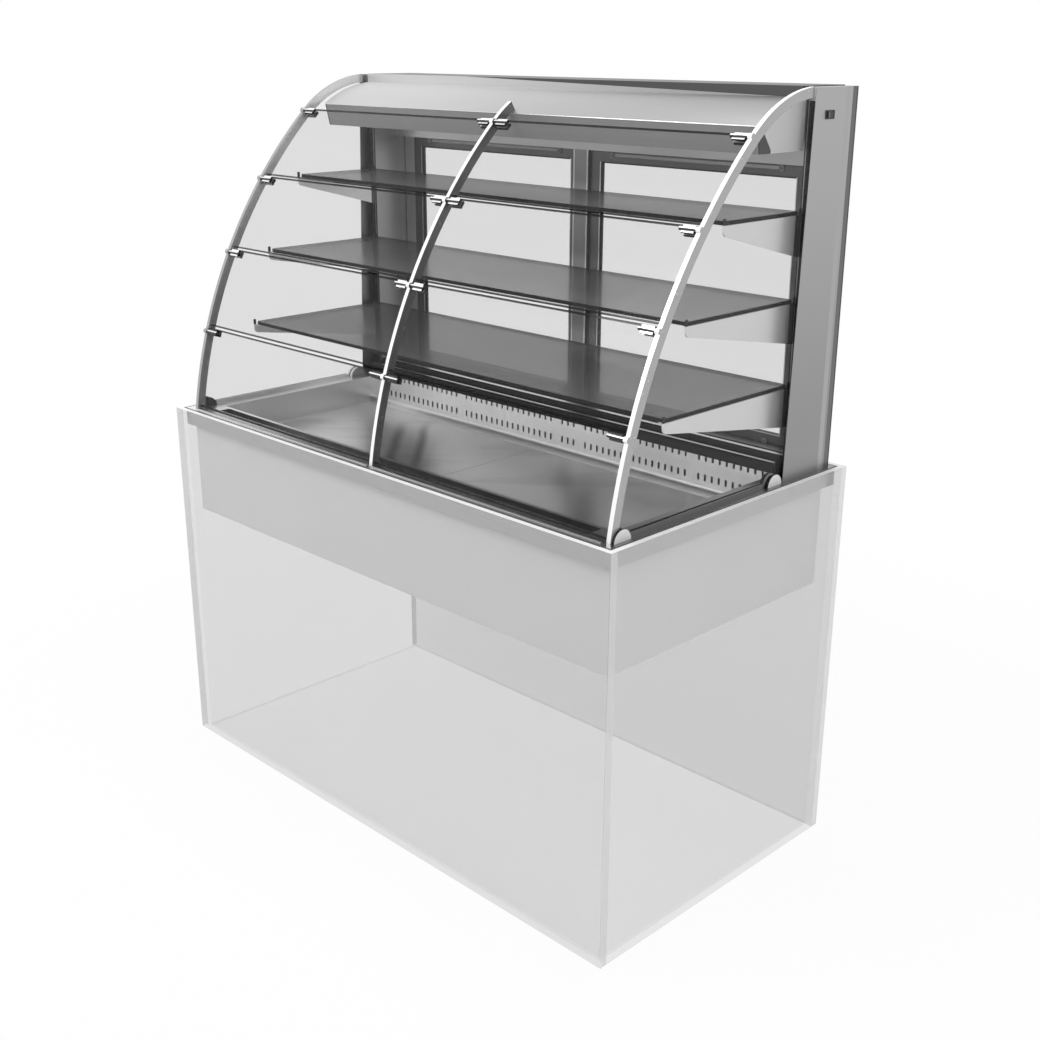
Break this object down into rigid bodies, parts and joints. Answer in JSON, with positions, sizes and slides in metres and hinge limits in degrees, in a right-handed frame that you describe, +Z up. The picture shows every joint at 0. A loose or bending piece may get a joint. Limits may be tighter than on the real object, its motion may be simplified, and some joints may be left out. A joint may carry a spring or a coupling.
{
  "type": "refrigerated display case",
  "caption": "Drop-in refrigerated self-service display with curved glass front flaps, tinted shelves and rear sliding doors, set in a see-through counter.",
  "frame": {"origin": "middle of the rest face under the counter", "axes": "+Z up, -Y toward the customer's side with the flaps, +X to the right seen from that side"},
  "size_m": [1.466, 0.776, 1.696],
  "materials": {
    "ghost_panel": "thin see-through white board",
    "casing_skin": "light gray sheet",
    "foam": "rigid insulation foam",
    "stainless": "brushed along the length",
    "end_plate": "light gray satin",
    "coil_fins": "bare fins",
    "dark_plastic": "fine grain black",
    "motor_can": "satin dark gray",
    "drain_plastic": "satin white",
    "upright_steel": "satin",
    "post_steel": "brushed along the height",
    "door_profile": "anodised satin",
    "door_pane": "clear",
    "glide_plastic": "satin white",
    "lamp_glass": "opal white",
    "rib_steel": "polished edge, satin sides",
    "clear_glass": "clear",
    "tinted_glass": "gray tint",
    "rocker_black": "satin black",
    "clip_steel": "polished"
  },
  "bodies": {
    "cabinet": {"air_grille": "stainless", "blower_housing": "stainless", "blower_motor": "motor_can", "bottom_shelf": "tinted_glass", "canopy_end_plates": "end_plate", "canopy_shell": "stainless", "centre_post": "post_steel", "counter_back_panel": "ghost_panel", "counter_base_board": "ghost_panel", "counter_front_panel": "ghost_panel", "counter_side_panels": "ghost_panel", "drain_fitting": "drain_plastic", "evaporator_coil": "coil_fins", "glass_clamps": "dark_plastic", "lamp_housing": "stainless", "lamp_tube": "lamp_glass", "left_column": "stainless", "left_deck_plate": "stainless", "left_rib": "rib_steel", "left_side_glass": "clear_glass", "middle_rib": "rib_steel", "middle_shelf": "tinted_glass", "rear_header": "stainless", "rear_sill": "stainless", "right_column": "stainless", "right_deck_plate": "stainless", "right_rib": "rib_steel", "right_side_glass": "clear_glass", "rim_frame": "stainless", "shelf_brackets": "upright_steel", "shelf_uprights": "upright_steel", "switch_bezel": "dark_plastic", "top_shelf": "tinted_glass", "well_casing": "casing_skin", "well_insulation": "foam", "well_liner": "stainless"},
    "flap_left_top": {"flap_glass_left_top": "clear_glass", "flap_clips_left_top": "clip_steel"},
    "flap_left_upper": {"flap_glass_left_upper": "clear_glass", "flap_clips_left_upper": "clip_steel"},
    "flap_left_lower": {"flap_glass_left_lower": "clear_glass", "flap_clips_left_lower": "clip_steel"},
    "flap_left_bottom": {"flap_glass_left_bottom": "clear_glass", "flap_clips_left_bottom": "clip_steel"},
    "flap_right_top": {"flap_glass_right_top": "clear_glass", "flap_clips_right_top": "clip_steel"},
    "flap_right_upper": {"flap_glass_right_upper": "clear_glass", "flap_clips_right_upper": "clip_steel"},
    "flap_right_lower": {"flap_glass_right_lower": "clear_glass", "flap_clips_right_lower": "clip_steel"},
    "flap_right_bottom": {"flap_glass_right_bottom": "clear_glass", "flap_clips_right_bottom": "clip_steel"},
    "left_door": {"left_door_frame": "door_profile", "left_door_glass": "door_pane", "left_door_rollers": "glide_plastic"},
    "right_door": {"right_door_frame": "door_profile", "right_door_glass": "door_pane", "right_door_rollers": "glide_plastic"},
    "rocker": {"light_switch": "rocker_black"},
    "blower": {"blower_wheel": "dark_plastic"}
  },
  "joints": [
    {"name": "flap_left_top_hinge", "type": "hinge", "parent": "cabinet", "child": "flap_left_top", "pos_m": [-0.3445, 0.02077, 1.61], "axis": [-1, 0, 0], "range_deg": [0, 75]},
    {"name": "flap_left_upper_hinge", "type": "hinge", "parent": "cabinet", "child": "flap_left_upper", "pos_m": [-0.3445, -0.1214, 1.451], "axis": [-1, 0, 0], "range_deg": [0, 75]},
    {"name": "flap_left_lower_hinge", "type": "hinge", "parent": "cabinet", "child": "flap_left_lower", "pos_m": [-0.3445, -0.22933, 1.279], "axis": [-1, 0, 0], "range_deg": [0, 75]},
    {"name": "flap_left_bottom_hinge", "type": "hinge", "parent": "cabinet", "child": "flap_left_bottom", "pos_m": [-0.3445, -0.30806, 1.09], "axis": [-1, 0, 0], "range_deg": [0, 75]},
    {"name": "flap_right_top_hinge", "type": "hinge", "parent": "cabinet", "child": "flap_right_top", "pos_m": [0.3445, 0.02077, 1.61], "axis": [-1, 0, 0], "range_deg": [0, 75]},
    {"name": "flap_right_upper_hinge", "type": "hinge", "parent": "cabinet", "child": "flap_right_upper", "pos_m": [0.3445, -0.1214, 1.451], "axis": [-1, 0, 0], "range_deg": [0, 75]},
    {"name": "flap_right_lower_hinge", "type": "hinge", "parent": "cabinet", "child": "flap_right_lower", "pos_m": [0.3445, -0.22933, 1.279], "axis": [-1, 0, 0], "range_deg": [0, 75]},
    {"name": "flap_right_bottom_hinge", "type": "hinge", "parent": "cabinet", "child": "flap_right_bottom", "pos_m": [0.3445, -0.30806, 1.09], "axis": [-1, 0, 0], "range_deg": [0, 75]},
    {"name": "left_door_slide", "type": "slide", "parent": "cabinet", "child": "left_door", "axis": [1, 0, 0], "range_m": [0, 0.655]},
    {"name": "right_door_slide", "type": "slide", "parent": "cabinet", "child": "right_door", "axis": [-1, 0, 0], "range_m": [0, 0.655]},
    {"name": "light_switch_tip", "type": "hinge", "parent": "cabinet", "child": "rocker", "pos_m": [0.701, 0.264, 1.642], "axis": [0, 0, -1], "range_deg": [0, 16]},
    {"name": "blower_spin", "type": "hinge", "parent": "cabinet", "child": "blower", "pos_m": [0, 0.236, 0.752], "axis": [1, 0, 0], "continuous": true}
  ]
}
